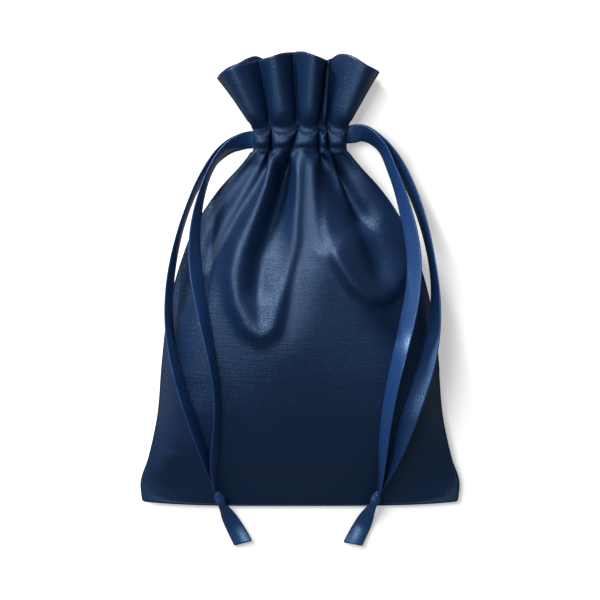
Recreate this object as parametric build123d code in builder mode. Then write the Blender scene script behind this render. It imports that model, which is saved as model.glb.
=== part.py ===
"""A satin drawstring gift pouch, filled, cinched and lying on its back.

The frame: X runs across the pouch, Y from the bottom seam to the mouth, and Z up from the
table that the back panel lies on. The origin is on the table, under the middle of the cloth.

Two satin panels are sewn together at the sides and the bottom. At the mouth each panel is
turned down inside and sewn through with two rows of stitches, which makes a tunnel, the
casing. Two ribbons run through both casings, one knotted outside the left slit and one
outside the right, so that pulling them gathers the neck and throws the cloth above it into
a frill of two loose leaves.
"""

from build123d import *
from math import radians, tan
import os

# ---------------------------------------------------------------- driving sizes, millimetres
pouch_width = 100.0        # across the bottom seam
body_length = 112.0        # bottom seam to the lower row of stitches
fill_depth = 27.0          # thickness of the filled body at its fullest
fullness = 2.3             # power of the body's section: 2 is an ellipse, and more is boxier
back_fullness = 4.0        # the same for the back, which the table flattens
neck_fullness = 6.0        # the same for the neck, which the ribbons hold nearly flat
neck_width = 29.4          # across the gathered casing
frill_width = 52.0         # across the frill's corners
frill_height = 22.7        # upper row of stitches to the top of the frill
frill_shoulder = 15.7      # upper row of stitches to the frill's corners
cloth = 0.5                # a panel's thickness, with its finish
gather_count = 5           # folds across one side of the neck
flare_depth = 2.6          # half the height of a fold at the top of the front leaf
back_flare_depth = 1.25    # the same on the back leaf, which the table flattens
seam_allowance = 4.0       # cloth turned inside along the seams
allowance_thickness = 0.5  # that cloth, pressed flat
hem_width = 3.0            # turned edge along each side of the frill's leaves
hem_thickness = 0.4
facing_overlap = 1.6       # turned-down cloth below the lower row
ribbon_width = 6.0
ribbon_thickness = 0.4
casing_ease = 2.4          # rows of stitches apart, past the ribbon's width
row_flat = 0.6             # cloth that a row of stitches holds flat on the facing
row_rise = 0.3             # from there to the casing's full height
tunnel_depth = 1.6         # from the facing to the casing's wall
ribbon_slack = 3.0         # how far each ribbon's turn stands out of the far slit
knot_length = 5.0          # along the ribbon
knot_radius = 2.1          # over the wrap
stitch_length = 0.8
stitch_thickness = 0.3
gap = 0.3                  # clearance between neighbouring pieces
rest_press = 0.15          # cloth flattened where the pouch lies on the table

# ---------------------------------------------------------------- places along the pouch, Y
casing_height = ribbon_width + casing_ease
bottom_y = -(body_length + casing_height + frill_height) / 2
lower_row_y = bottom_y + body_length
upper_row_y = lower_row_y + casing_height
top_y = upper_row_y + frill_height
casing_y = (lower_row_y + upper_row_y) / 2
lane_offset = (ribbon_width / 2 + gap) / 2        # from the casing's middle to each ribbon's

# ---------------------------------------------------------------- the folds: each widens from the
# neck to the top of its leaf and keeps its slope
leaf_cloth = 2 * cloth
frill_spread = (frill_width - neck_width) / 2 * frill_height / frill_shoulder
leaf_top_half = neck_width / 2 + frill_spread
fold_widening = leaf_top_half / (neck_width / 2)
gather_depth = flare_depth / fold_widening
back_gather_depth = back_flare_depth / fold_widening
fold_shares = [k / gather_count - 1 for k in range(2 * gather_count + 1)]

# ---------------------------------------------------------------- the neck's layers, from its
# middle outwards: the facing, the tunnel, and the wall in its folds
facing_near = gap
facing_far = facing_near + cloth
wall_near = facing_far + tunnel_depth
pinched_near = facing_far + gap
middle_z = wall_near + leaf_cloth + 2 * back_flare_depth + gap     # above the table
seam_near = allowance_thickness / 2 + gap         # from the seam's middle to a panel

# One row for each place where the body's form turns: its share of the body's length, then of
# the width that the bottom has over the neck, of the fill, and of the neck's height that the
# side seam lies at.
body_stations = [
    (0.00, 1.00, 0.03, 0.35),
    (0.06, 1.02, 0.16, 0.50),
    (0.14, 0.94, 0.46, 0.70),
    (0.25, 0.86, 0.74, 0.90),
    (0.40, 0.82, 0.94, 1.12),
    (0.55, 0.76, 1.00, 1.28),
    (0.68, 0.65, 0.86, 1.28),
    (0.80, 0.50, 0.61, 1.19),
    (0.90, 0.28, 0.32, 1.08),
    (0.97, 0.07, 0.09, 1.02),
    (1.00, 0.00, 0.00, 1.00),
]


def section_plane(y):
    """A plane across the pouch: local x is X and local y is Z."""
    return Plane(origin=(0, y, 0), x_dir=(1, 0, 0), z_dir=(0, -1, 0))


def half_width(width_share):
    """Half the body's width, from the neck's and the bottom's."""
    return (neck_width + (pouch_width - neck_width) * width_share) / 2


def gathering(along):
    """How much of the neck's folds is left at a share of the body's length."""
    return max(0.0, 2 * along - 1) ** 1.5


def fold_sign(k):
    """Up at a fold's top, down in the valley between two, and level at both ends."""
    if k in (0, 2 * gather_count):
        return 0
    return 1 if k % 2 else -1


def cross_profile(half, edge, crown, depth, squareness):
    """Points of a panel's outer side across X, from its edges to its crown, in folds."""
    points = []
    for k, share in enumerate(fold_shares):
        rise = (1 - abs(share) ** squareness) ** 0.75
        points.append((half * share, edge + (crown - edge) * rise + depth * fold_sign(k)))
    return points


def front_profile(along, width_share, fill_share, seam_share):
    """The front panel's outer side at a station of the body."""
    gathered = gathering(along)
    seam_z = middle_z * seam_share
    start = middle_z * body_stations[0][3] + seam_near + cloth
    flat = start + (middle_z + pinched_near + cloth + gather_depth - start) * along
    crown = flat + (fill_depth - flat) * fill_share
    edge = seam_z + seam_near + (pinched_near - seam_near) * gathered + cloth
    return cross_profile(half_width(width_share), edge, crown, gather_depth * gathered,
                         fullness + (neck_fullness - fullness) * gathered)


def back_profile(along, width_share, fill_share, seam_share):
    """The back panel's outer side at a station, lying on the table."""
    gathered = gathering(along)
    seam_z = middle_z * seam_share
    crown = (middle_z - pinched_near - cloth - back_gather_depth) * gathered - rest_press
    edge = seam_z - seam_near - (pinched_near - seam_near) * gathered - cloth
    if along == 0:
        crown = edge - cloth
    return cross_profile(half_width(width_share), edge, crown, -back_gather_depth * gathered,
                         back_fullness + (neck_fullness - back_fullness) * gathered)


def shifted(points, rise):
    """The same profile, higher or lower."""
    return [(x, z + rise) for x, z in points]


os.makedirs("parts", exist_ok=True)

# ---------------------------------------------------------------- front panel: the upper half
# of the body and the outer wall of the front casing, in one cloth
casing_rows = [
    (lower_row_y, pinched_near),
    (lower_row_y + row_flat, pinched_near),
    (lower_row_y + row_flat + row_rise, wall_near),
    (upper_row_y - row_flat - row_rise, wall_near),
    (upper_row_y - row_flat, pinched_near),
    (upper_row_y, pinched_near),
]
with BuildPart() as front_panel:
    for along, width_share, fill_share, seam_share in body_stations:
        outer = front_profile(along, width_share, fill_share, seam_share)
        inner = shifted(outer, -cloth)
        with BuildSketch(section_plane(bottom_y + body_length * along)):
            with BuildLine():
                Polyline(*outer, *reversed(inner), close=True)
            make_face()
    loft()
    for row_y, near in casing_rows:
        outer = cross_profile(neck_width / 2, middle_z + near + cloth,
                              middle_z + near + cloth + gather_depth, gather_depth, neck_fullness)
        inner = shifted(outer, -cloth)
        with BuildSketch(section_plane(row_y)):
            with BuildLine():
                Polyline(*outer, *reversed(inner), close=True)
            make_face()
    loft(ruled=True)
front_panel.part.label = "front_panel"
export_step(front_panel.part, "parts/front_panel.step")

# ---------------------------------------------------------------- back panel: the same cloth
# below, pressed flat where it lies on the table
with BuildPart() as back_panel:
    for along, width_share, fill_share, seam_share in body_stations:
        outer = back_profile(along, width_share, fill_share, seam_share)
        inner = shifted(outer, cloth)
        with BuildSketch(section_plane(bottom_y + body_length * along)):
            with BuildLine():
                Polyline(*outer, *reversed(inner), close=True)
            make_face()
    loft()
    for row_y, near in casing_rows:
        outer = cross_profile(neck_width / 2, middle_z - near - cloth,
                              middle_z - near - cloth - back_gather_depth, -back_gather_depth,
                              neck_fullness)
        inner = shifted(outer, cloth)
        with BuildSketch(section_plane(row_y)):
            with BuildLine():
                Polyline(*outer, *reversed(inner), close=True)
            make_face()
    loft(ruled=True)
    with BuildSketch():
        Rectangle(2 * pouch_width, 2 * body_length)
    extrude(amount=-middle_z, mode=Mode.SUBTRACT)
back_panel.part.label = "back_panel"
export_step(back_panel.part, "parts/back_panel.step")

# ---------------------------------------------------------------- hem facings: the cloth that
# is turned down inside each panel, behind the ribbons
facing_half = neck_width / 2 - 2 * gap
facing_bottom_y = lower_row_y - facing_overlap
with BuildPart() as front_hem_facing:
    with BuildSketch(Plane.XY.offset(middle_z + facing_near)):
        with Locations((0, (facing_bottom_y + upper_row_y) / 2)):
            Rectangle(2 * facing_half, upper_row_y - facing_bottom_y)
    extrude(amount=cloth)
front_hem_facing.part.label = "front_hem_facing"
export_step(front_hem_facing.part, "parts/front_hem_facing.step")

with BuildPart() as back_hem_facing:
    with BuildSketch(Plane.XY.offset(middle_z - facing_far)):
        with Locations((0, (facing_bottom_y + upper_row_y) / 2)):
            Rectangle(2 * facing_half, upper_row_y - facing_bottom_y)
    extrude(amount=cloth)
back_hem_facing.part.label = "back_hem_facing"
export_step(back_hem_facing.part, "parts/back_hem_facing.step")

# ---------------------------------------------------------------- frill: two loose leaves of
# doubled cloth above the casing, fanned out from the neck, with a rippled top edge
leaf_root_y = upper_row_y + gap
leaf_rise = 4.0            # from the row's pinch to the leaf's full fold
ripple = 0.6               # dips of the top edge between the folds
corner_y = upper_row_y + frill_shoulder
trim_x = leaf_top_half + gap
trim_y = top_y + leaf_rise


def leaf_half(y):
    """Half a leaf's width at a height above the casing."""
    return neck_width / 2 + frill_spread * (y - upper_row_y) / frill_height


def frill_edge():
    """The rippled line along the top of a leaf, from corner to corner."""
    points = []
    for k, share in enumerate(fold_shares):
        arch = (top_y - corner_y) * (1 - abs(share) ** 2.4)
        dip = ripple if fold_sign(k) < 0 else 0
        points.append((frill_width / 2 * share, corner_y + arch - dip))
    return points


leaf_rows = [
    (leaf_root_y, pinched_near),
    (leaf_root_y + leaf_rise, wall_near),
    (top_y, wall_near),
]


def leaf_line(side, fold_depth, row_y, near):
    """The ends of the folds across a leaf at one row, on its outer side."""
    depth = side * fold_depth * leaf_half(row_y) / leaf_top_half
    edge = middle_z + side * (near + leaf_cloth)
    outer = cross_profile(leaf_half(row_y), edge, edge + depth, depth, neck_fullness)
    return [(x, row_y, z) for x, z in outer]


def leaf_pleats(side, fold_depth):
    """A leaf's flat pleats, each between two folds and two rows."""
    lines = [leaf_line(side, fold_depth, row_y, near) for row_y, near in leaf_rows]
    pleats = []
    for low, high in zip(lines, lines[1:]):
        for k in range(2 * gather_count):
            pleats.append(Face(Wire.make_polygon([low[k], low[k + 1], high[k + 1], high[k]])))
    return pleats


with BuildPart() as front_frill:
    for pleat in leaf_pleats(1, flare_depth):
        extrude(pleat, amount=leaf_cloth, dir=(0, 0, -1))
    with BuildSketch():
        with BuildLine():
            edge_line = Spline(*frill_edge())
            Polyline(edge_line @ 1, (trim_x, corner_y), (trim_x, trim_y), (-trim_x, trim_y),
                     (-trim_x, corner_y), edge_line @ 0)
        make_face()
    extrude(amount=fill_depth, mode=Mode.SUBTRACT)
front_frill.part.label = "front_frill"
export_step(front_frill.part, "parts/front_frill.step")

with BuildPart() as back_frill:
    for pleat in leaf_pleats(-1, back_flare_depth):
        extrude(pleat, amount=leaf_cloth, dir=(0, 0, 1))
    with BuildSketch():
        with BuildLine():
            edge_line = Spline(*frill_edge())
            Polyline(edge_line @ 1, (trim_x, corner_y), (trim_x, trim_y), (-trim_x, trim_y),
                     (-trim_x, corner_y), edge_line @ 0)
        make_face()
    extrude(amount=fill_depth, mode=Mode.SUBTRACT)
back_frill.part.label = "back_frill"
export_step(back_frill.part, "parts/back_frill.step")

# ---------------------------------------------------------------- slit hems: the turned side
# edges of the two leaves, which leave the casing open at its ends
hem_start_y = leaf_root_y + leaf_rise + gap
hem_end_y = corner_y - 2 * gap
hem_levels = {"front": wall_near - gap / 2 - hem_thickness, "back": gap / 2 - wall_near}
for leaf, level in hem_levels.items():
    for side, sign in (("left", -1), ("right", 1)):
        with BuildPart() as slit_hem:
            with BuildSketch(Plane.XY.offset(middle_z + level)):
                with BuildLine():
                    Polyline((sign * (leaf_half(hem_start_y) - gap), hem_start_y),
                             (sign * (leaf_half(hem_end_y) - gap), hem_end_y),
                             (sign * (leaf_half(hem_end_y) - gap - hem_width), hem_end_y),
                             (sign * (leaf_half(hem_start_y) - gap - hem_width), hem_start_y),
                             close=True)
                make_face()
            extrude(amount=hem_thickness)
        slit_hem.part.label = f"slit_hem_{leaf}_{side}"
        export_step(slit_hem.part, f"parts/slit_hem_{leaf}_{side}.step")

# ---------------------------------------------------------------- side seams: the allowances
# of both panels, turned inside, up to where the slits begin
for side, sign in (("left", -1), ("right", 1)):
    with BuildPart() as side_seam:
        for along, width_share, fill_share, seam_share in body_stations[:-1]:
            outer_x = half_width(width_share) - gap
            with BuildSketch(section_plane(bottom_y + gap + body_length * along)):
                with Locations((sign * (outer_x - seam_allowance / 2), middle_z * seam_share)):
                    Rectangle(seam_allowance, allowance_thickness)
        loft()
    side_seam.part.label = f"{side}_side_seam"
    export_step(side_seam.part, f"parts/{side}_side_seam.step")

# ---------------------------------------------------------------- bottom seam allowance
bottom_seam_z = middle_z * body_stations[0][3]
with BuildPart() as bottom_seam:
    with BuildSketch(Plane.XY.offset(bottom_seam_z - allowance_thickness / 2)):
        with Locations((0, bottom_y + gap + seam_allowance / 2)):
            Rectangle(pouch_width - 2 * (seam_allowance + 3 * gap), seam_allowance)
    extrude(amount=allowance_thickness)
bottom_seam.part.label = "bottom_seam"
export_step(bottom_seam.part, "parts/bottom_seam.step")

# ---------------------------------------------------------------- stitching: two rows round
# each casing, one stitch over the top of every fold
stitch_lift = pinched_near + cloth + gap / 2 + stitch_thickness / 2
stitch_rows = {"lower": lower_row_y + row_flat / 2, "upper": upper_row_y - row_flat / 2}
for panel, up, depth in (("front", 1, gather_depth), ("back", -1, back_gather_depth)):
    for row, row_y in stitch_rows.items():
        with BuildPart() as stitching:
            profile = cross_profile(neck_width / 2, 0, depth, depth, neck_fullness)
            for x, height in profile[1:-1:2]:
                with Locations((x, row_y, middle_z + up * (stitch_lift + height))):
                    Box(stitch_length, stitch_thickness, stitch_thickness)
        stitching.part.label = f"{panel}_{row}_stitching"
        export_step(stitching.part, f"parts/{panel}_{row}_stitching.step")

# ---------------------------------------------------------------- ribbons in the casings: each
# is folded in half along its length, goes in at its own slit through the front casing, turns
# at the far slit, and comes back through the back casing
folded_thickness = 2 * ribbon_thickness
leg_height = facing_far + tunnel_depth / 2
turn_x = neck_width / 2 + gap + ribbon_slack + folded_thickness / 2
slit_x = neck_width / 2 + 2 * gap
exit_x = turn_x + folded_thickness / 2 + 2 * gap
exit_height = ribbon_thickness + gap


def bend_radii(points):
    """The largest arc that each corner of a route has room for."""
    corners = [Vector(*point) for point in points]
    radii = []
    for before, here, after in zip(corners, corners[1:], corners[2:]):
        arrive, leave = here - before, after - here
        half_turn = radians(arrive.get_angle(leave)) / 2
        radii.append(0.45 * min(arrive.length, leave.length) / tan(half_turn))
    return radii


lanes = {"left": casing_y - lane_offset, "right": casing_y + lane_offset}
for side, sign in (("left", -1), ("right", 1)):
    run_points = [
        (sign * exit_x, lanes[side], middle_z + exit_height),
        (sign * slit_x, lanes[side], middle_z + leg_height),
        (-sign * turn_x, lanes[side], middle_z + leg_height),
        (-sign * turn_x, lanes[side], middle_z - leg_height),
        (sign * slit_x, lanes[side], middle_z - leg_height),
        (sign * exit_x, lanes[side], middle_z - exit_height),
    ]
    with BuildPart() as drawstring:
        with BuildLine() as run_line:
            FilletPolyline(*run_points, radius=bend_radii(run_points))
        with BuildSketch(Plane(run_line.line @ 0, x_dir=(0, 1, 0), z_dir=run_line.line % 0)):
            Rectangle(ribbon_width / 2, folded_thickness)
        sweep()
    drawstring.part.label = f"{side}_drawstring"
    export_step(drawstring.part, f"parts/{side}_drawstring.step")
    print(side, "drawstring radii", [round(radius, 1) for radius in bend_radii(run_points)])

# ---------------------------------------------------------------- ribbon strands: from each
# slit, round the shoulder and over the body to the knot at the bottom edge. The front strand
# comes from the front casing and lies nearer the middle, the back strand outside and below.
high_z = middle_z + exit_height
low_z = middle_z - exit_height
strand_routes = {
    "left_front": [
        (-exit_x, lanes["left"], high_z), (-22.2, 41.9, 6.9), (-25.4, 38.9, 7.6), (-27.9, 34.6, 9.0),
        (-29.9, 29.2, 11.8), (-31.6, 22.6, 14.9), (-32.7, 14.6, 17.7), (-32.7, 5.5, 20.3),
        (-31.3, -4.5, 22.0), (-29.2, -15.0, 23.6), (-26.8, -26.0, 24.2), (-25.3, -36.5, 23.2),
        (-25.6, -46.5, 20.0), (-26.6, -55.5, 15.6), (-26.9, -62.3, 12.0), (-26.3, -66.5, 9.0),
    ],
    "left_back": [
        (-exit_x, lanes["left"], low_z), (-22.2, 41.9, 5.6), (-25.6, 39.2, 5.7), (-28.8, 35.2, 6.0),
        (-31.9, 30.2, 6.8), (-34.7, 23.6, 8.2), (-37.4, 15.6, 10.2), (-39.6, 6.0, 12.2),
        (-40.9, -4.0, 14.0), (-40.9, -14.5, 15.6), (-39.2, -25.0, 17.0), (-36.4, -35.5, 17.7),
        (-33.0, -45.5, 17.7), (-29.8, -55.3, 14.8), (-27.4, -62.4, 10.7), (-26.5, -66.2, 8.1),
    ],
    "right_front": [
        (exit_x, lanes["right"], high_z), (22.4, 44.8, 6.9), (26.2, 41.2, 7.4), (29.3, 36.2, 8.2),
        (31.9, 29.6, 10.2), (34.0, 22.0, 12.8), (35.5, 13.4, 15.2), (35.9, 3.8, 17.6),
        (34.9, -6.0, 20.3), (32.6, -16.4, 21.9), (30.0, -26.8, 22.7), (27.8, -36.8, 22.0),
        (26.3, -46.6, 19.2), (25.5, -56.0, 15.6), (25.3, -62.4, 12.0), (24.8, -66.8, 9.0),
    ],
    "right_back": [
        (exit_x, lanes["right"], low_z), (22.6, 45.0, 5.6), (26.8, 41.8, 5.7), (30.4, 37.2, 5.9),
        (33.6, 31.4, 6.5), (36.6, 24.2, 7.6), (39.2, 15.8, 9.2), (41.2, 6.4, 11.0),
        (42.4, -3.6, 12.6), (42.2, -13.6, 14.0), (40.3, -23.8, 16.1), (37.3, -33.8, 17.6),
        (33.7, -43.8, 17.7), (30.3, -53.8, 15.5), (27.4, -61.6, 11.4), (24.8, -66.8, 8.0),
    ],
}
for strand, route in strand_routes.items():
    radii = bend_radii(route)
    with BuildPart() as ribbon_strand:
        with BuildLine() as strand_line:
            FilletPolyline(*route, radius=radii)
        across = (strand_line.line % 0).cross(Vector(0, 0, 1))
        with BuildSketch(Plane(strand_line.line @ 0, x_dir=across, z_dir=strand_line.line % 0)):
            Rectangle(ribbon_width, ribbon_thickness)
        sweep()
        start_x = (exit_x + gap) * (-1 if route[0][0] < 0 else 1)
        split(bisect_by=Plane.YZ.offset(start_x), keep=Keep.TOP if start_x > 0 else Keep.BOTTOM)
    length = strand_line.wires()[0].length
    print(strand, "length", round(length, 1), "radii", [round(radius) for radius in radii],
          "volume", round(ribbon_strand.part.volume, 1),
          "of", round(ribbon_width * ribbon_thickness * length, 1))
    ribbon_strand.part.label = f"{strand}_strand"
    export_step(ribbon_strand.part, f"parts/{strand}_strand.step")

# ---------------------------------------------------------------- knots: both strands of a
# ribbon tied together in one overhand knot, with the two cut ends past it
knots = {
    "left": (Vector(-26.2, -66.7, 8.3), Vector(1.9, -4.4, -1.7)),
    "right": (Vector(24.7, -67.0, 8.3), Vector(-2.0, -4.3, -1.7)),
}
tail_routes = {
    "left_upper": [(-24.1, -71.8, 6.9), (-22.3, -75.4, 4.4), (-20.2, -79.2, 2.0), (-18.0, -83.4, 1.2)],
    "left_lower": [(-24.1, -71.8, 6.3), (-22.5, -75.1, 3.4), (-20.5, -78.8, 0.9), (-18.5, -82.9, 0.4)],
    "right_upper": [(22.6, -71.9, 6.9), (20.8, -75.5, 4.4), (18.8, -79.3, 2.0), (16.6, -83.6, 1.2)],
    "right_lower": [(22.6, -71.9, 6.3), (21.0, -75.2, 3.4), (19.1, -78.9, 0.9), (17.1, -83.0, 0.4)],
}
knot_chamfer = knot_radius / 3
for side, (start, direction) in knots.items():
    along_knot = direction.normalized()
    across = along_knot.cross(Vector(0, 0, 1)).normalized()
    upward = across.cross(along_knot)
    with BuildPart() as knot:
        with BuildSketch(Plane(start, x_dir=across, z_dir=along_knot)):
            RegularPolygon(knot_radius, 8)
        extrude(amount=knot_length)
        chamfer(knot.faces().sort_by(Axis(start, along_knot))[0].edges(), knot_chamfer)
        chamfer(knot.faces().sort_by(Axis(start, along_knot))[-1].edges(), knot_chamfer)
    knot.part.label = f"{side}_knot"
    export_step(knot.part, f"parts/{side}_knot.step")

for tail, route in tail_routes.items():
    with BuildPart() as ribbon_tail:
        with BuildLine() as tail_line:
            FilletPolyline(*route, radius=bend_radii(route))
        across = (tail_line.line % 0).cross(Vector(0, 0, 1))
        with BuildSketch(Plane(tail_line.line @ 0, x_dir=across, z_dir=tail_line.line % 0)):
            Rectangle(ribbon_width, ribbon_thickness)
        sweep()
    length = tail_line.wires()[0].length
    print(tail, "tail length", round(length, 1), "volume", round(ribbon_tail.part.volume, 1),
          "of", round(ribbon_width * ribbon_thickness * length, 1))
    ribbon_tail.part.label = f"{tail}_tail"
    export_step(ribbon_tail.part, f"parts/{tail}_tail.step")
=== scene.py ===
"""A satin drawstring gift pouch, filled and cinched, lying on its back: its looks, round the CAD frame."""
import math

import bmesh
import bpy
import numpy as np
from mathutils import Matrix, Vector
from mathutils.bvhtree import BVHTree


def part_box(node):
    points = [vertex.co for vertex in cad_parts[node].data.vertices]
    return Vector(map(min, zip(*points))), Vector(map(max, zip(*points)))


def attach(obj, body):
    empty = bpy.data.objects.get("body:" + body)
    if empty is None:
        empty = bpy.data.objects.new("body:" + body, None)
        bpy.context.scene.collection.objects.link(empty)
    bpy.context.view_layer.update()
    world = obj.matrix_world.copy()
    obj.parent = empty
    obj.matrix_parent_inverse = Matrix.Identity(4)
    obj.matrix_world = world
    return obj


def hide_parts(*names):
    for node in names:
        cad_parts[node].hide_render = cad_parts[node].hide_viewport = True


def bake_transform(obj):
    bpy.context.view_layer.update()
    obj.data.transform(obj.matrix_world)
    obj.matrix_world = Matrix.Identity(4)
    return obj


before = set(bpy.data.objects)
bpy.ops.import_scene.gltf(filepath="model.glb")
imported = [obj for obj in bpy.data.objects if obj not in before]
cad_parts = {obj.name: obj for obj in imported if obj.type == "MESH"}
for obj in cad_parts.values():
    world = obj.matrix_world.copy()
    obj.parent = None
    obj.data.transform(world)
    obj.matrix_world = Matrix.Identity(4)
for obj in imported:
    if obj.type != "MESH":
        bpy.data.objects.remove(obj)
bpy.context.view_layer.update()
scene = bpy.context.scene
mm = 0.001

# ------------------------------------------------------------------ the pouch's cloth
# Two satin panels, 100 mm wide, sewn together along the sides and the bottom. Each is cut flat, with
# the casing and the header above it, and is drawn in at the casing by the ribbons. A simulation
# settles the filled body. The casing and the frill above it are held in their pleats.
sim_scale = 100.0                      # the simulation's units to a metre: 1 unit is 10 mm
cloth_width = 100 * mm
eased_width = 82 * mm                  # what is left of it where the tightest gathers swallow the rest
thread_step = 1.4 * mm                 # spacing of the cloth's rows
body_rows, casing_rows, header_rows = 88, 6, 16
cloth_columns = 66
all_rows = body_rows + casing_rows + header_rows
panel_low, panel_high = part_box("front_panel")
facing_low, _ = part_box("front_hem_facing")
facing_gap = 0.3 * mm                  # from the neck's middle to each facing
casing_height = 8.4 * mm               # between its two rows of stitching
middle_z = facing_low.z - facing_gap
bottom_y, upper_row_y = panel_low.y, panel_high.y
lower_row_y = upper_row_y - casing_height
pleat_depths = {1: 5.2 * mm, -1: 3.8 * mm}      # at the casing, front and back
rim_depths = {1: 10.8 * mm, -1: 4.0 * mm}       # at the frill's rim


def mesh_of(shape_bm, name):
    """The finished mesh of a shape, which is then let go."""
    mesh = bpy.data.meshes.new(name)
    shape_bm.to_mesh(mesh)
    shape_bm.free()
    return mesh


def curve_through(x, xs, ys):
    """A smooth curve through given values."""
    ys = np.asarray(ys, float)
    xs = np.asarray(xs, float)
    slopes = np.gradient(ys, xs)
    k = int(np.clip(np.searchsorted(xs, x) - 1, 0, len(xs) - 2))
    step = xs[k + 1] - xs[k]
    t = min(1.0, max(0.0, (x - xs[k]) / step))
    a, b, c = ys[k], slopes[k] * step, slopes[k + 1] * step
    d = ys[k + 1] - a
    return float(a + t * (b + t * (3 * d - 2 * b - c + t * (b + c - 2 * d))))


# The gathers, front (1) and back (-1): how the cloth's width is shared among five pleats, where the
# valleys between them lie in millimetres at the lower row, the upper row and the frill's rim, and how
# high each pleat's crest is at the rim and how far it leans to one side there.
pleats = {
    1: {"ends": [0, 0.20, 0.42, 0.66, 0.78, 1.0],
        "lower": [-14.7, -9.1, -3.4, 6.0, 8.9, 14.7],
        "upper": [-14.7, -9.1, -0.6, 6.0, 8.5, 14.7],
        "rim": [-26.2, -12.8, -2.2, 8.4, 9.8, 25.0],
        "crests": [0.70, 0.66, 0.80, 0.10, 0.86],
        "leans": [-1.6, -0.9, 1.3, 0, 3.0]},
    -1: {"ends": [0, 0.19, 0.40, 0.58, 0.80, 1.0],
         "lower": [-14.7, -8.6, -2.4, 3.0, 9.4, 14.7],
         "upper": [-14.7, -8.6, -2.4, 3.0, 9.4, 14.7],
         "rim": [-25.8, -17.0, -6.5, 3.5, 13.0, 24.6],
         "crests": [0.8, 0.9, 1.0, 0.9, 0.8],
         "leans": [0, 0, 0, 0, 0]},
}
rim_x = [-26.5, -24.0, -19.0, -13.5, -10.5, -4.5, 0.5, 4.8, 9.1, 12.0, 16.0, 21.0, 25.2]
rim_y = {
    1: [63.2, 65.0, 67.0, 69.0, 69.4, 71.2, 71.5, 70.0, 69.2, 70.8, 70.2, 66.9, 65.2],
    -1: [63.4, 66.2, 68.6, 70.6, 69.2, 70.0, 70.2, 69.0, 68.8, 69.9, 70.9, 67.9, 65.2],
}
# The seams: the share of the body's length, then half the width and the height in millimetres.
side_along = [0.00, 0.06, 0.14, 0.25, 0.40, 0.55, 0.68, 0.80, 0.90, 0.97, 1.00]
side_half = [49.9, 50.4, 47.8, 45.1, 43.6, 41.6, 37.8, 32.4, 24.8, 17.6, 14.9]
side_rise = [2.2, 2.8, 4.2, 5.6, 7.0, 8.0, 8.0, 7.4, 6.8, 6.3, 6.2]


def pleat_at(share, ends):
    """The number of the pleat that a thread belongs to."""
    return min(len(ends) - 2, int(np.searchsorted(ends, share, side="right")) - 1)


def pleated(share, ends, valleys):
    """Where a thread of the gathered cloth lies across X, and how high it is on its pleat, 0 to 1."""
    k = pleat_at(share, ends)
    turn = (share - ends[k]) / (ends[k + 1] - ends[k])
    width = valleys[k + 1] - valleys[k]
    x = valleys[k] + width * (turn - 0.12 * math.sin(2 * math.pi * turn))
    return x * mm, max(0.0, math.sin(math.pi * turn)) ** 0.8


def casing_sag(up_casing, height):
    """How far a pleat's crest hangs below its valleys, more toward the upper row."""
    return (4.4 * up_casing - 0.6) * mm * height


def sewn_place(side, column, row):
    """Where a held thread ends up: the seams, the gathered casing, and the frill's rim and side edges."""
    share = column / cloth_columns
    gathers = pleats[side]
    if row < body_rows:
        along = row / body_rows
        half = curve_through(along, side_along, side_half) * mm
        rise = curve_through(along, side_along, side_rise) * mm
        bow = 1.4 * mm * (2 * share - 1) ** 4 * max(0.0, 1 - 8 * along)
        return Vector((half * (2 * share - 1), bottom_y + (lower_row_y - bottom_y) * along + bow, rise))
    up_casing = min(1.0, (row - body_rows) / casing_rows)
    low_x, height = pleated(share, gathers["ends"], gathers["lower"])
    high_x, _ = pleated(share, gathers["ends"], gathers["upper"])
    between = math.sin(math.pi * up_casing)
    pinch = 0.80 + 0.20 * max(between, up_casing)
    rows_up = min(row - body_rows, casing_rows)
    neck = Vector((low_x + (high_x - low_x) * up_casing,
                   lower_row_y + rows_up * thread_step - casing_sag(up_casing, height),
                   middle_z + side * (0.8 * mm + 0.5 * mm * between + pleat_depths[side] * pinch * height)))
    if row <= body_rows + casing_rows:
        return neck
    up_header = (row - body_rows - casing_rows) / header_rows
    x, height = pleated(share, gathers["ends"], gathers["rim"])
    pleat = pleat_at(share, gathers["ends"])
    x += gathers["leans"][pleat] * mm * height ** 2.5
    crest = rim_depths[side] * gathers["crests"][pleat] * height ** 2.6
    rim = Vector((x, curve_through(x / mm, rim_x, rim_y[side]) * mm, middle_z + side * (0.9 * mm + crest)))
    set_in = 3.4 * mm * height * math.exp(-((up_header - 0.06) / 0.13) ** 2)
    ridge = 1.4 * mm * (1 - height) ** 4 * math.exp(-(up_header / 0.3) ** 2)
    place = neck.lerp(rim, up_header)
    place.z += side * (ridge - set_in)
    return place


# the two panels, cut flat and sewn, in the simulation's units
cloth_bm = bmesh.new()
bmesh.ops.create_grid(cloth_bm, x_segments=cloth_columns, y_segments=all_rows, size=1)
side_layer = cloth_bm.verts.layers.int.new("panel_side")
column_layer = cloth_bm.verts.layers.int.new("thread_column")
row_layer = cloth_bm.verts.layers.int.new("thread_row")
back_face_layer = cloth_bm.faces.layers.int.new("back_face")
weave_layer = cloth_bm.loops.layers.uv.new("weave")
cloth_bm.verts.ensure_lookup_table()
for number, vert in enumerate(cloth_bm.verts):
    row, column = divmod(number, cloth_columns + 1)
    vert[side_layer], vert[column_layer], vert[row_layer] = 1, column, row
    easing = curve_through(row / all_rows, [0, 0.45, 0.8, 1], [0, 0, 1, 1])
    width = cloth_width + (eased_width - cloth_width) * easing
    vert.co = ((column / cloth_columns - 0.5) * width, bottom_y + row * thread_step, 0)
for face in cloth_bm.faces:
    for loop in face.loops:
        loop[weave_layer].uv = (loop.vert[column_layer] / cloth_columns,
                                loop.vert[row_layer] * thread_step / cloth_width)
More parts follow.
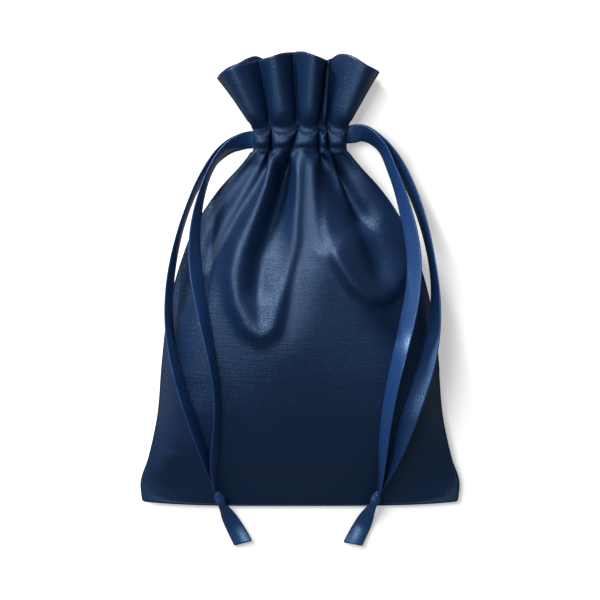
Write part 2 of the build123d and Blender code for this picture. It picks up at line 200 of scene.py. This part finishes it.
back_copy = bmesh.ops.duplicate(cloth_bm, geom=cloth_bm.verts[:] + cloth_bm.edges[:] + cloth_bm.faces[:])
back_faces = [g for g in back_copy["geom"] if isinstance(g, bmesh.types.BMFace)]
bmesh.ops.reverse_faces(cloth_bm, faces=back_faces)
for face in back_faces:
    face[back_face_layer] = 1
    for vert in face.verts:
        vert[side_layer] = -1
sewn_pairs = {}
front_threads = {(v[column_layer], v[row_layer]): v for v in cloth_bm.verts if v[side_layer] == 1}
for vert in cloth_bm.verts:
    column, row = vert[column_layer], vert[row_layer]
    at_side = column in (0, cloth_columns) and row <= body_rows
    if vert[side_layer] == -1 and (at_side or row == 0):
        sewn_pairs[vert] = front_threads[column, row]
    across = 2 * column / cloth_columns - 1
    swell = 4.5 * mm * math.sqrt(max(0.0, 1 - across ** 2)) * min(1.0, row / 12)
    vert.co.z = middle_z + vert[side_layer] * swell
bmesh.ops.weld_verts(cloth_bm, targetmap=sewn_pairs)
bmesh.ops.scale(cloth_bm, vec=(sim_scale,) * 3, verts=cloth_bm.verts)
cloth_mesh = mesh_of(cloth_bm, "cloth_cut")
cloth = bpy.data.objects.new("cloth_cut", cloth_mesh)
scene.collection.objects.link(cloth)

# what the ribbons, the stitching and the seams hold, and where the filling presses
sides = [d.value for d in cloth_mesh.attributes["panel_side"].data]
columns = [d.value for d in cloth_mesh.attributes["thread_column"].data]
rows = [d.value for d in cloth_mesh.attributes["thread_row"].data]
held = cloth.vertex_groups.new(name="held")
filled = cloth.vertex_groups.new(name="filled")
unfilled_rows = 5                      # just below the casing
cloth.shape_key_add(name="flat")
drawn_in = cloth.shape_key_add(name="drawn_in")
for number, (side, column, row) in enumerate(zip(sides, columns, rows)):
    at_edge = column in (0, cloth_columns)
    if at_edge or row == 0 or row >= body_rows:
        drawn_in.data[number].co = sewn_place(side, column, row) * sim_scale
        held.add([number], 1.0, "REPLACE")
    filled.add([number], 1.0 if row < body_rows - unfilled_rows else 0.0, "REPLACE")
settle_frames, draw_frames = 64, 34    # the whole simulation, and the drawing in
drawn_in.value = 0
drawn_in.keyframe_insert("value", frame=1)
drawn_in.value = 1
drawn_in.keyframe_insert("value", frame=draw_frames)

bpy.ops.mesh.primitive_plane_add(size=60)
sim_floor = bpy.context.object
sim_floor.modifiers.new("Collision", "COLLISION")
sim_floor.collision.thickness_outer = 0.02
sim_floor.collision.cloth_friction = 8
settling = cloth.modifiers.new("Cloth", "CLOTH")
satin_physics = settling.settings
satin_physics.quality = 7
satin_physics.mass = 0.15
satin_physics.tension_stiffness = 25
satin_physics.compression_stiffness = 25
satin_physics.shear_stiffness = 8
satin_physics.bending_stiffness = 4.0
satin_physics.tension_damping = 8
satin_physics.compression_damping = 8
satin_physics.shear_damping = 8
satin_physics.bending_damping = 0.5
satin_physics.air_damping = 3
satin_physics.vertex_group_mass = "held"
satin_physics.use_pressure = True
satin_physics.uniform_pressure_force = 0.62
satin_physics.vertex_group_pressure = "filled"
settling.collision_settings.distance_min = 0.02
settling.collision_settings.use_self_collision = False
settling.point_cache.frame_start = 1
settling.point_cache.frame_end = settle_frames
for step in range(1, settle_frames + 1):
    scene.frame_set(step)
settled = bpy.data.meshes.new_from_object(cloth.evaluated_get(bpy.context.evaluated_depsgraph_get()))
bpy.data.objects.remove(cloth)
bpy.data.objects.remove(sim_floor)
eased_rows = 16                        # over which the smoothing fades out below the gathers
thread_numbers = {key: number for number, key in enumerate(zip(sides, columns, rows))}


def panel_grid(side):
    """A settled panel as a grid of places in metres, rows of threads by columns."""
    grid = np.zeros((all_rows + 1, cloth_columns + 1, 3))
    for row in range(all_rows + 1):
        for column in range(cloth_columns + 1):
            number = thread_numbers.get((side, column, row), thread_numbers.get((1, column, row)))
            grid[row, column] = settled.vertices[number].co / sim_scale
    return grid


def eased(grid, rounds):
    """The grid with its small creases pressed out, less and less toward the gathers."""
    ease = np.clip((body_rows - 1 - np.arange(len(grid))) / eased_rows, 0, 1)[1:-1, None, None]
    for _ in range(rounds):
        around = (grid[:-2, 1:-1] + grid[2:, 1:-1] + grid[1:-1, :-2] + grid[1:-1, 2:]) / 4
        grid[1:-1, 1:-1] += (around - grid[1:-1, 1:-1]) * ease
    return grid


# The long folds that hang from the gathers and die out on the filled body: a ridge along a line in
# millimetres, its breadth on the left and the right of that way, and its height at both ends.
front_folds = [
    # the hanging fold: down from the second pleat, round its lowest point and up to the middle
    ([(-8, 38), (-10.5, 30), (-15.5, 21), (-20, 11), (-21.5, 1), (-20, -8), (-16.5, -15), (-12, -18),
      (-8.5, -15.5), (-6.5, -8), (-4, 2), (-2, 12), (-1.8, 24), (-1.8, 37)], (4.6, 2.2), (2.6, 3.4)),
    # the hollow inside it
    ([(-4.8, 37), (-6.5, 27), (-9.5, 17), (-12.5, 7), (-13.5, -3)], (3.3, 3.3), (-6.0, -2.4)),
    # the swag on the right, which runs out beside the seam
    ([(8.8, 37), (8.8, 26), (9, 15), (11.5, 6), (16.5, -2), (22, -6.5), (27, -6), (31, -2)],
     (6.5, 1.9), (1.6, 3.6)),
    # the dome inside it, and the hollow above it
    ([(15, 8), (20, 1.5), (24, -2)], (7.5, 6.5), (2.4, 2.6)),
    ([(10.5, 37), (12, 29), (14.5, 23.5), (18, 19.5)], (4.8, 4.0), (-5.6, -4.4)),
    # the middle fold's right side
    ([(5, 37), (5, 26), (5.5, 16), (6, 8)], (3.0, 2.0), (2.6, 0.8)),
    # the brow at its foot, from which the body falls away to the right
    ([(-3, -7), (3, 1), (8, 7)], (3.4, 8.0), (0.5, 1.5)),
    # the slack of the left bottom corner
    ([(-43.4, -59.5), (-42.6, -56)], (3.2, 3.4), (1.7, 1.7)),
    # the flank on the left, and the hollow above it
    ([(-12, 38), (-17, 29), (-23, 19), (-28, 10), (-31, 2)], (2.2, 3.4), (2.6, 2.2)),
    ([(-15, 36), (-21, 28), (-27, 19), (-31, 12)], (2.6, 2.2), (-2.6, -1.4)),
]


def ridge_height(x, y, line, breadths, heights):
    """What one fold adds to the height of the cloth at places x and y, all in millimetres."""
    total = sum(math.dist(a, b) for a, b in zip(line, line[1:]))
    nearest = np.full(x.shape, 1e9)
    share, breadth = np.zeros(x.shape), np.ones(x.shape)
    passed = 0
    for (ax, ay), (bx, by) in zip(line, line[1:]):
        run = math.dist((ax, ay), (bx, by))
        t = np.clip(((x - ax) * (bx - ax) + (y - ay) * (by - ay)) / run ** 2, 0, 1)
        away = np.hypot(x - ax - t * (bx - ax), y - ay - t * (by - ay))
        on_left = (bx - ax) * (y - ay) - (by - ay) * (x - ax) > 0
        closer = away < nearest
        nearest = np.where(closer, away, nearest)
        share = np.where(closer, (passed + t * run) / total, share)
        breadth = np.where(closer, np.where(on_left, breadths[0], breadths[1]), breadth)
        passed += run
    height = heights[0] + (heights[1] - heights[0]) * share
    return height * np.exp(-(nearest / breadth) ** 2)


grids = {1: eased(panel_grid(1), 16), -1: eased(panel_grid(-1), 12)}
for grid in grids.values():
    for low_rows in (34, 26, 18, 12, 8):       # the flat bottom is smoothed most
        eased(grid[:low_rows], 10)
# the long folds, which end at the gathers and at the seams
below_gathers = np.clip((body_rows - np.arange(all_rows + 1)) / 6, 0, 1)[:, None]
inside_seams = np.clip(1.05 - np.abs(np.linspace(-1, 1, cloth_columns + 1)) ** 8, 0, 1)[None, :]
for fold in front_folds:
    swell = ridge_height(grids[1][..., 0] / mm, grids[1][..., 1] / mm, *fold)
    grids[1][..., 2] += swell * below_gathers * inside_seams * mm
for number, (side, column, row) in enumerate(zip(sides, columns, rows)):
    settled.vertices[number].co = Vector(grids[side][row, column]) * sim_scale


def settled_at(side, column, row):
    """Where two threads cross once the cloth has settled."""
    return Vector(grids[side][row, column])


# ------------------------------------------------------------------ the finishes
class Level:
    """A socket of a material, for sums and products."""

    def __init__(self, finish, socket):
        self.finish, self.socket = finish, socket

    def maths(self, operation, first, second):
        return self.finish.node("ShaderNodeMath", {"operation": operation}, {0: first, 1: second}, 0)

    def __add__(self, other):
        return self.maths("ADD", self, other)

    def __sub__(self, other):
        return self.maths("SUBTRACT", self, other)

    def __rsub__(self, other):
        return self.maths("SUBTRACT", other, self)

    def __mul__(self, other):
        return self.maths("MULTIPLY", self, other)

    __radd__, __rmul__ = __add__, __mul__


class Finish:
    """A material of one shader, whose constants are set on the shader itself."""

    def __init__(self, name, constants):
        self.material = bpy.data.materials.new(name)
        self.material.use_nodes = True
        self.nodes = self.material.node_tree.nodes
        self.shader = self.nodes["Principled BSDF"]
        for socket, value in constants.items():
            self.put(self.shader.inputs[socket], value)

    def put(self, socket, value):
        """Gives a socket a value, or links another to it."""
        if isinstance(value, Level):
            self.material.node_tree.links.new(value.socket, socket)
        else:
            socket.default_value = value

    def node(self, kind, settings, inputs, output):
        """Adds a node, its settings first, and gives one of its outputs."""
        added = self.nodes.new(kind)
        for setting, value in settings.items():
            setattr(added, setting, value)
        for socket, value in inputs.items():
            self.put(added.inputs[socket], value)
        return Level(self, added.outputs[output])

    def noise(self, place, stretch, detail):
        """Noise on the weave's own coordinates, finer where the stretch is greater."""
        stretched = self.node("ShaderNodeMapping", {}, {"Vector": place, "Scale": stretch}, 0)
        return self.node("ShaderNodeTexNoise", {}, {"Vector": stretched, "Scale": 1.0, "Detail": detail}, 0)


def woven_finish(name, dark, light, gloss, streak, grain, relief):
    """Satin: streaks along the weft and a fine grain of threads, in its colour, gloss and relief."""
    finish = Finish(name, gloss)
    place = finish.node("ShaderNodeUVMap", {"uv_map": "weave"}, {}, 0)
    streaks = finish.noise(place, streak, 2.0)
    grains = finish.noise(place, grain, 1.0)
    mixed = finish.node("ShaderNodeMix", {"data_type": "RGBA"},
                        {0: streaks * 0.6 + grains * 0.7 - 0.15, 6: dark, 7: light}, 2)
    finish.put(finish.shader.inputs["Base Color"], mixed)
    finish.put(finish.shader.inputs["Roughness"], gloss["Roughness"] + (grains - 0.5) * 0.25)
    threads = grains + streaks * 0.5
    bump = finish.node("ShaderNodeBump", {},
                       {"Strength": relief, "Distance": 0.16 * mm, "Height": threads}, 0)
    finish.put(finish.shader.inputs["Normal"], bump)
    return finish.material


satin = woven_finish("navy_satin", (0.0018, 0.0088, 0.030, 1), (0.0054, 0.0210, 0.067, 1),
                     {"Roughness": 0.37, "Specular IOR Level": 0.48, "Specular Tint": (0.44, 0.66, 1.0, 1)},
                     (7, 160, 1), (330, 330, 1), 0.9)
ribbon_satin = woven_finish("blue_ribbon", (0.0050, 0.0210, 0.078, 1), (0.0125, 0.0470, 0.155, 1),
                            {"Roughness": 0.34, "Specular IOR Level": 0.8,
                             "Specular Tint": (0.38, 0.64, 1.0, 1)},
                            (26, 3, 1), (14, 14, 1), 0.3)
sewing_thread = Finish("navy_thread", {"Base Color": (0.02, 0.045, 0.11, 1), "Roughness": 0.5}).material


# ------------------------------------------------------------------ the pieces of cloth
# Front and back panel of satin, sewn to each other below the casing. Each carries its casing and its half
# of the frill.
ribbon_width = 6 * mm
panel_thickness = 0.35 * mm
strip_thickness = 0.3 * mm             # of the ribbons and of the narrow pieces of cloth


def smooth_piece(name, mesh, paint):
    """A piece with a smooth surface, of one material."""
    for polygon in mesh.polygons:
        polygon.use_smooth = True
    mesh.materials.append(paint)
    piece = bpy.data.objects.new(name, mesh)
    scene.collection.objects.link(piece)
    return piece


def solid_cloth(name, mesh, paint, thickness, rounds, offset=-1):
    """A piece of cloth or ribbon of some thickness, from a mesh of its threads."""
    piece = smooth_piece(name, mesh, paint)
    fine = piece.modifiers.new("Subdivision", "SUBSURF")
    fine.levels = fine.render_levels = rounds
    ply = piece.modifiers.new("Solidify", "SOLIDIFY")
    ply.thickness = thickness
    ply.offset = offset
    return piece


def woven_strip(name, lines, paint, rounds=0):
    """A strip through lines of points that lie side by side."""
    strip_bm = bmesh.new()
    bmesh.ops.create_grid(strip_bm, x_segments=len(lines[0]) - 1, y_segments=len(lines) - 1, size=1)
    weave = strip_bm.loops.layers.uv.new("weave")
    strip_bm.verts.ensure_lookup_table()
    across = len(lines[0])
    step = (lines[1][0] - lines[0][0]).length / ribbon_width
    for face in strip_bm.faces:
        for loop in face.loops:
            row, column = divmod(loop.vert.index, across)
            loop[weave].uv = (column / (across - 1), row * step)
    for vert, place in zip(strip_bm.verts, [place for line in lines for place in line]):
        vert.co = place
    return solid_cloth(name, mesh_of(strip_bm, name), paint, strip_thickness, rounds, offset=0)


def ride_front(piece):
    """Bakes the placement of a piece of the front into its mesh; the piece is not bent."""
    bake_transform(piece)


panels = {}
for name, back in (("front_cloth", 0), ("back_cloth", 1)):
    panel_bm = bmesh.new()
    panel_bm.from_mesh(settled)
    layer = panel_bm.faces.layers.int["back_face"]
    bmesh.ops.delete(panel_bm, geom=[f for f in panel_bm.faces if f[layer] != back], context="FACES")
    bmesh.ops.scale(panel_bm, vec=(1 / sim_scale,) * 3, verts=panel_bm.verts)
    panels[name] = solid_cloth(name, mesh_of(panel_bm, name), satin, panel_thickness, 1)
ride_front(panels["front_cloth"])
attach(panels["back_cloth"], "pouch")
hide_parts("front_panel", "front_frill")
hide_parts("back_panel", "back_frill")

# ------------------------------------------------------------------ seam allowances
# The sewn edges of both panels, turned inside along the sides and the bottom: satin, fixed where the
# panels meet and lying loose three threads in.
allowance_threads = 3


def turned_in(column, row, inner_column, inner_row):
    """Three places across an allowance, from a seam to midway between the panels."""
    sewn = settled_at(1, column, row)
    inner = (settled_at(1, inner_column, inner_row) + settled_at(-1, inner_column, inner_row)) / 2
    return [sewn, (sewn + inner) / 2, inner]


side_seams = {}
for name, edge, inward in (("left", 0, 1), ("right", cloth_columns, -1)):
    inside = edge + inward * allowance_threads
    lines = [turned_in(edge, row, inside, row) for row in range(4, body_rows)]
    side_seams[name] = woven_strip(name + "_seam_allowance", lines, satin)
    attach(side_seams[name], "pouch")
    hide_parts(name + "_side_seam")
lines = [turned_in(column, 0, column, allowance_threads) for column in range(5, cloth_columns - 4)]
bottom_allowance = woven_strip("bottom_seam_allowance", lines, satin)
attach(bottom_allowance, "pouch")
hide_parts("bottom_seam")

# ------------------------------------------------------------------ hem facings and slit hems
# The cloth turned down inside each casing, behind the ribbons, and the narrow hems of the slits at the
# header's sides. All are satin, held by the casing's two rows of stitching.
facing_overlap = 1.6 * mm              # below the lower row of stitching
facing_steps = 7
trims = {1: [], -1: []}
for side, name in ((1, "front"), (-1, "back")):
    gathers = pleats[side]
    lines = []
    for step in range(facing_steps + 1):
        up = step / facing_steps
        line = []
        for column in range(2, cloth_columns - 1):
            low_x, height = pleated(column / cloth_columns, gathers["ends"], gathers["lower"])
            high_x, _ = pleated(column / cloth_columns, gathers["ends"], gathers["upper"])
            y = (lower_row_y - facing_overlap * (1 - up) + (upper_row_y - lower_row_y) * up
                 - casing_sag(up, height))
            line.append(Vector((low_x + (high_x - low_x) * up, y,
                                middle_z + side * (0.25 * mm + (pleat_depths[side] - 0.4 * mm) * height))))
        lines.append(line)
    facing = woven_strip(name + "_facing", lines, satin)
    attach(facing, "pouch")
    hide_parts(name + "_hem_facing")
    trims[side].append(facing)
    for hand, edge, inward in (("left", 0, 1), ("right", cloth_columns, -1)):
        lines = []
        for row in range(body_rows + casing_rows + 3, all_rows + 1):
            lines.append([settled_at(side, edge + inward * k, row) - Vector((0, 0, side * 0.5 * mm))
                          for k in range(4)])
        slit_hem = woven_strip(f"{name}_slit_hem_{hand}", lines, satin)
        if side > 0:
            ride_front(slit_hem)
        else:
            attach(slit_hem, "pouch")
        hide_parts(f"slit_hem_{name}_{hand}")
        trims[side].append(slit_hem)

# ------------------------------------------------------------------ stitching
# Two rows of thread on each face hold the casing: short stitches laid over the pleats, each sunk at
# its ends into the satin.
for side, name in ((1, "front"), (-1, "back")):
    for row, place_name in ((body_rows, "lower"), (body_rows + casing_rows, "upper")):
        stitch_bm = bmesh.new()
        for column in range(2, cloth_columns - 1, 2):
            middle = sewn_place(side, column, row)
            along = (sewn_place(side, column + 1, row) - sewn_place(side, column - 1, row)).normalized()
            outward = side * along.cross(Vector((0, 1, 0)))
            stitch = bmesh.ops.create_icosphere(stitch_bm, subdivisions=1, radius=1)["verts"]
            for vert in stitch:
                x, y, z = vert.co
                vert.co = (middle + along * x * 0.55 * mm + Vector((0, y * 0.16 * mm, 0))
                           + outward * z * 0.14 * mm)
        row_name = f"{name}_{place_name}_row"
        stitch_row = smooth_piece(row_name, mesh_of(stitch_bm, row_name), sewing_thread)
        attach(stitch_row, "pouch")
        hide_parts(f"{name}_{place_name}_stitching")
        trims[side].append(stitch_row)

# ------------------------------------------------------------------ the ribbons
# Two satin ribbons, 6 mm wide. Each runs through the casing and comes out at its own side as two
# strands, which lie over the pouch and meet in a knot. The strands turn and narrow as they hang.
slit_x = 17 * mm                       # nearer the middle than this the casing carries the ribbons
threads_across = 7                     # of a ribbon
cloth_clearance = 0.3 * mm             # of a ribbon's middle over the cloth it lies on
under_ribbons = BVHTree.FromPolygons([v.co / sim_scale for v in settled.vertices],
                                     [p.vertices for p in settled.polygons])


def cloth_top(place):
    """The height of the cloth or the table under a place."""
    hit = under_ribbons.ray_cast(Vector((place.x, place.y, 0.1)), Vector((0, 0, -1)))[0]
    return hit.z if hit else 0.0


def nurbs_points(name, route):
    """Points close together along the smooth line of a route."""
    curve = bpy.data.curves.new(name, "CURVE")
    curve.dimensions = "3D"
    spline = curve.splines.new("NURBS")
    spline.points.add(len(route) - 1)
    for point, place in zip(spline.points, route):
        point.co = (*place, 1)
    spline.order_u = 3
    spline.use_endpoint_u = True
    curve.resolution_u = 7
    holder = bpy.data.objects.new(name, curve)
    scene.collection.objects.link(holder)
    line = bpy.data.meshes.new_from_object(holder.evaluated_get(bpy.context.evaluated_depsgraph_get()))
    points = [v.co.copy() for v in line.vertices]
    bpy.data.objects.remove(holder)
    return points


def value_along(share, values):
    """One of the values that are given at even steps along a ribbon, or between two of them."""
    return curve_through(share, [n / (len(values) - 1) for n in range(len(values))], values)


def ribbon_lines(points, widths, turns, cup, slant=0):
    """Lines across a ribbon: widths in millimetres and turns in degrees run along it, and it is cupped.

    A slant pushes one edge ahead of the other at the far end, as scissors cut it.
    """
    lines = []
    for k, place in enumerate(points):
        share = k / (len(points) - 1)
        ahead = points[min(k + 1, len(points) - 1)] - points[max(k - 1, 0)]
        ahead.normalize()
        up = (Vector((0, 0, 1)) - ahead * ahead.z).normalized()
        beside = ahead.cross(up)
        turn = math.radians(value_along(share, turns))
        half = value_along(share, widths) * mm / 2
        flat = beside * math.cos(turn) + up * math.sin(turn)
        face = up * math.cos(turn) - beside * math.sin(turn)
        line = []
        for n in range(threads_across):
            out = n / (threads_across // 2) - 1
            skew = ahead * slant * out * half * share ** 6
            line.append(place + flat * out * half - face * cup * half * (out ** 2 - 0.33) + skew)
        lines.append(line)
    return lines


def laid_on_cloth(lines):
    """The same lines, lifted smoothly to where the cloth or the table carries them."""
    needed = [max(0.0, *(cloth_top(place) + cloth_clearance - place.z for place in line))
              if abs(line[threads_across // 2].x) > slit_x else 0.0 for line in lines]
    for _ in range(3):
        needed = [max(need, (needed[max(k - 1, 0)] + need + needed[min(k + 1, len(needed) - 1)]) / 3)
                  for k, need in enumerate(needed)]
    return [[place + Vector((0, 0, lift)) for place in line] for line, lift in zip(lines, needed)]


strand_routes = {
    "left_front": [
        (-0.0110, 0.0440, 0.0074), (-0.0145, 0.0441, 0.0067), (-0.0170, 0.0438, 0.0067),
        (-0.0194, 0.0430, 0.0069), (-0.0222, 0.0419, 0.0069), (-0.0254, 0.0389, 0.0076),
        (-0.0279, 0.0346, 0.0090), (-0.0299, 0.0292, 0.0118), (-0.0316, 0.0226, 0.0149),
        (-0.0327, 0.0146, 0.0177), (-0.0327, 0.0055, 0.0203), (-0.0313, -0.0045, 0.0220),
        (-0.0292, -0.0150, 0.0236), (-0.0268, -0.0260, 0.0242), (-0.0253, -0.0365, 0.0232),
        (-0.0256, -0.0465, 0.0200), (-0.0266, -0.0555, 0.0156), (-0.0269, -0.0623, 0.0120),
        (-0.0263, -0.0665, 0.0090)],
    "left_back": [
        (-0.0110, 0.0440, 0.0050), (-0.0145, 0.0441, 0.0057), (-0.0170, 0.0438, 0.0057),
        (-0.0194, 0.0430, 0.0055), (-0.0222, 0.0419, 0.0056), (-0.0256, 0.0392, 0.0057),
        (-0.0288, 0.0352, 0.0060), (-0.0319, 0.0302, 0.0068), (-0.0347, 0.0236, 0.0082),
        (-0.0374, 0.0156, 0.0102), (-0.0396, 0.0060, 0.0122), (-0.0409, -0.0040, 0.0140),
        (-0.0409, -0.0145, 0.0156), (-0.0392, -0.0250, 0.0170), (-0.0364, -0.0355, 0.0177),
        (-0.0330, -0.0455, 0.0177), (-0.0298, -0.0553, 0.0148), (-0.0274, -0.0624, 0.0107),
        (-0.0265, -0.0662, 0.0081)],
    "right_front": [
        (0.0110, 0.0455, 0.0074), (0.0145, 0.0455, 0.0067), (0.0170, 0.0458, 0.0067),
        (0.0194, 0.0463, 0.0069), (0.0224, 0.0448, 0.0069), (0.0262, 0.0412, 0.0074),
        (0.0284, 0.0355, 0.0082), (0.0309, 0.0288, 0.0102), (0.0330, 0.0214, 0.0128),
        (0.0349, 0.0130, 0.0152), (0.0358, 0.0038, 0.0176), (0.0349, -0.0060, 0.0203),
        (0.0326, -0.0164, 0.0219), (0.0300, -0.0268, 0.0227), (0.0278, -0.0368, 0.0220),
        (0.0263, -0.0466, 0.0192), (0.0255, -0.0560, 0.0156), (0.0253, -0.0624, 0.0120),
        (0.0248, -0.0668, 0.0090)],
    "right_back": [
        (0.0110, 0.0455, 0.0050), (0.0145, 0.0455, 0.0057), (0.0170, 0.0458, 0.0057),
        (0.0194, 0.0463, 0.0055), (0.0226, 0.0450, 0.0056), (0.0268, 0.0418, 0.0057),
        (0.0304, 0.0372, 0.0059), (0.0336, 0.0314, 0.0065), (0.0366, 0.0242, 0.0076),
        (0.0392, 0.0158, 0.0092), (0.0412, 0.0064, 0.0110), (0.0424, -0.0036, 0.0126),
        (0.0422, -0.0136, 0.0140), (0.0403, -0.0238, 0.0161), (0.0373, -0.0338, 0.0176),
        (0.0337, -0.0438, 0.0177), (0.0303, -0.0538, 0.0155), (0.0274, -0.0616, 0.0114),
        (0.0248, -0.0668, 0.0080)],
}
strand_turns = {
    "left_front": [0, 30, 52, 70, 76, 70, 58, 50, 58, 68, 70, 60, 70],
    "left_back": [0, 25, 40, 54, 68, 76, 76, 70, 66, 64, 62, 62, 74],
    "right_front": [0, -15, -40, -60, -62, -54, -44, -42, -38, -50, -56, -62, -74],
    "right_back": [0, -15, -35, -54, -58, -62, -68, -70, -56, -34, -24, -40, -74],
}
strand_widths = [5.2, 5.8, 6, 6, 6, 6, 6, 6, 6, 6, 6, 5.2, 3.0]
tail_routes = {
    "left_upper": [(-0.0250, -0.0702, 0.0076), (-0.0241, -0.0718, 0.0062), (-0.0223, -0.0754, 0.0026),
                   (-0.0202, -0.0792, 0.0014), (-0.0180, -0.0834, 0.0026)],
    "left_lower": [(-0.0250, -0.0702, 0.0072), (-0.0241, -0.0718, 0.0056), (-0.0225, -0.0751, 0.0018),
                   (-0.0205, -0.0788, 0.0006), (-0.0185, -0.0829, 0.0012)],
    "right_upper": [(0.0234, -0.0703, 0.0076), (0.0226, -0.0719, 0.0062), (0.0208, -0.0755, 0.0026),
                    (0.0188, -0.0793, 0.0014), (0.0166, -0.0836, 0.0026)],
    "right_lower": [(0.0234, -0.0703, 0.0072), (0.0226, -0.0719, 0.0056), (0.0210, -0.0752, 0.0018),
                    (0.0191, -0.0789, 0.0006), (0.0171, -0.0830, 0.0012)],
}
knots = {
    "left": (Vector((-0.0262, -0.0667, 0.0083)), Vector((1.9, -4.4, -1.7)) * mm),
    "right": (Vector((0.0247, -0.0670, 0.0083)), Vector((-2.0, -4.3, -1.7)) * mm),
}

for hand, sign in (("left", -1), ("right", 1)):
    # the knot: a fluted body with one wrap of ribbon round it
    start, run = knots[hand]
    knot_bm = bmesh.new()
    bmesh.ops.create_uvsphere(knot_bm, u_segments=32, v_segments=20, radius=1)
    turned = run.to_track_quat("Z", "Y")
    for vert in knot_bm.verts:
        x, y, z = vert.co
        around = math.atan2(y, x)
        flutes = 1 + 0.08 * math.sin(6 * around + 4 * z)
        wrap = 0.30 * math.exp(-((z - 0.35 * math.sin(around)) / 0.34) ** 2)
        girth = (1.35 * flutes + wrap) * mm
        vert.co = start + run / 2 + turned @ Vector((x * girth, y * girth, z * 2.9 * mm))
    knot_name = hand + "_tied_knot"
    knot = smooth_piece(knot_name, mesh_of(knot_bm, knot_name), ribbon_satin)
    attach(knot, hand + "_loop")
    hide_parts(hand + "_knot")
    for layer, spread in (("upper", 6.0), ("lower", 5.6)):
        tail_points = nurbs_points("tail_route", tail_routes[f"{hand}_{layer}"])
        tail_widths = [2.2, 3.2, 4.6, 5.4, spread]
        tail_turns = [-sign * 24, -8, -12]
        lines = laid_on_cloth(ribbon_lines(tail_points, tail_widths, tail_turns, 0.22, slant=sign * 0.25))
        tail = woven_strip(f"{hand}_{layer}_end", lines, ribbon_satin, rounds=1)
        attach(tail, hand + "_loop")
        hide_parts(f"{hand}_{layer}_tail")
    for layer in ("front", "back"):
        name = f"{hand}_{layer}"
        route = nurbs_points("ribbon_route", strand_routes[name])
        lines = laid_on_cloth(ribbon_lines(route, strand_widths, strand_turns[name], 0.10))
        ribbon = woven_strip(name + "_ribbon", lines, ribbon_satin, rounds=1)
        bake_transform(ribbon)
        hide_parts(name + "_strand", hand + "_drawstring")
        middles = [line[threads_across // 2] for line in lines]
        length = sum((b - a).length for a, b in zip(middles, middles[1:]))

# ------------------------------------------------------------------ floor, light and camera
# A pale table that glosses and shadows see as grey, one broad lamp overhead on the left, and a low
# one behind that edges the frill. The camera looks straight down.
floor_bm = bmesh.new()
bmesh.ops.create_grid(floor_bm, x_segments=1, y_segments=1, size=2)
floor_mesh = mesh_of(floor_bm, "floor")
floor = bpy.data.objects.new("floor", floor_mesh)
scene.collection.objects.link(floor)
floor_white = Finish("floor_white", {"Roughness": 0.8, "Emission Strength": 0.36})
seen = floor_white.node("ShaderNodeLightPath", {}, {}, "Is Camera Ray")
for socket, unseen, white in (("Base Color", (0.25, 0.25, 0.27, 1), (0.95, 0.95, 0.95, 1)),
                              ("Emission Color", (0, 0, 0, 1), (1, 1, 1, 1))):
    mixed = floor_white.node("ShaderNodeMix", {"data_type": "RGBA"}, {0: seen, 6: unseen, 7: white}, 2)
    floor_white.put(floor_white.shader.inputs[socket], mixed)
floor_mesh.materials.append(floor_white.material)


def soft_lamp(name, place, aim, power, size):
    """A square softbox."""
    lamp = bpy.data.lights.new(name, "AREA")
    lamp.energy = power
    lamp.size = size
    holder = bpy.data.objects.new(name, lamp)
    scene.collection.objects.link(holder)
    holder.location = place
    holder.rotation_euler = (Vector(aim) - Vector(place)).to_track_quat("-Z", "Y").to_euler()


soft_lamp("key", (-0.26, 0.20, 0.80), (0, 0, 0), 4.6, 0.36)
soft_lamp("rim", (-0.42, 0.66, 0.30), (0, 0, 0), 10.0, 0.20)
world = bpy.data.worlds.new("studio")
world.use_nodes = True
world.node_tree.nodes["Background"].inputs[0].default_value = (1, 1, 1, 1)
world.node_tree.nodes["Background"].inputs[1].default_value = 0.22
scene.world = world
camera_data = bpy.data.cameras.new("camera")
camera = bpy.data.objects.new("camera", camera_data)
scene.collection.objects.link(camera)
camera_height, seen_width = 1.2, 0.190
camera.location = (0, -0.0065, camera_height)
camera_data.sensor_width = 36
camera_data.lens = 36 * camera_height / seen_width
scene.camera = camera
scene.view_settings.view_transform = "Standard"
